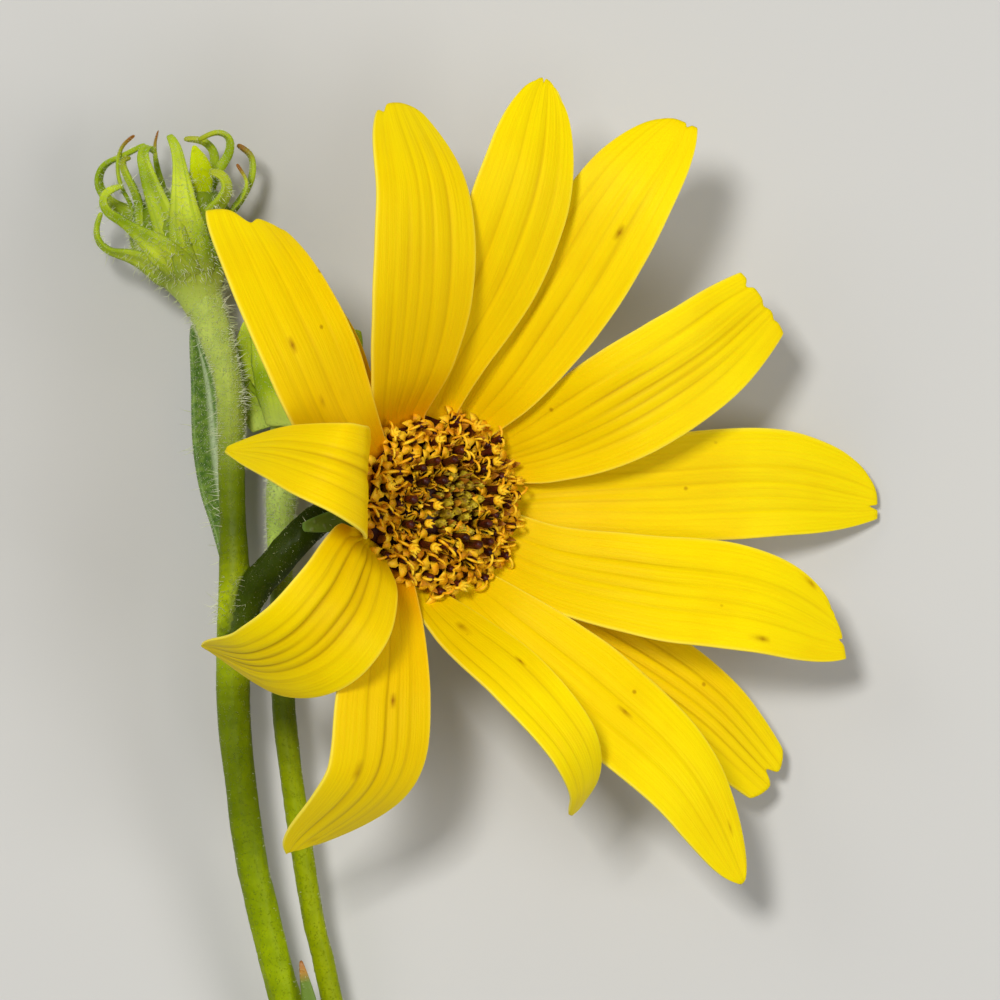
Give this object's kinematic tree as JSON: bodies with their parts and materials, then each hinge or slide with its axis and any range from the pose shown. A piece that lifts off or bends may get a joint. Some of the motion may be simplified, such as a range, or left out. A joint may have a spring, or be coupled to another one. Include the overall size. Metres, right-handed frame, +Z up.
{
  "type": "cut showy goldeneye sprig",
  "caption": "Cut sprig of a yellow daisy-like wildflower lying flat: an open head of ray petals round a domed disc, unopened heads with curled bracts, hairy stems and a leaf.",
  "frame": {"origin": "middle of the base of the box round the whole sprig, on the surface it lies on", "axes": "+Y along the stem from the cut end to the flowers, +X towards the side that the open head faces, +Z up from the surface"},
  "size_m": [0.0442, 0.0732, 0.0234],
  "materials": {
    "petal": "satin petal tissue with fine lengthwise veins and folds, deeper orange-yellow at the base",
    "disc_floret": "orange-yellow lobes round dark maroon anther tubes",
    "disc_bud": "olive-yellow closed florets",
    "stem": "green herb stem, ribbed, with short white hairs",
    "green_bract": "hairy green bracts",
    "bud": "pale yellow-green curled bracts with white hairs",
    "leaf": "dark green, rough, with a pale midrib",
    "fork_bract": "green with a reddish-brown tip"
  },
  "bodies": {
    "root": {"ray_petal_01": "petal", "ray_petal_02": "petal", "ray_petal_03": "petal", "ray_petal_04": "petal", "ray_petal_05": "petal", "ray_petal_06": "petal", "ray_petal_07": "petal", "ray_petal_08": "petal", "ray_petal_09": "petal", "ray_petal_10": "petal", "ray_petal_11": "petal", "ray_petal_12": "petal", "ray_petal_13": "petal", "ray_petal_14": "petal", "involucre": "green_bract", "disc_florets": "disc_floret", "disc_centre_buds": "disc_bud", "stem": "stem", "stem_leaf": "leaf", "fork_bract": "fork_bract", "bud_tall_stem": "bud", "bud_second_stem": "bud"}
  },
  "joints": []
}
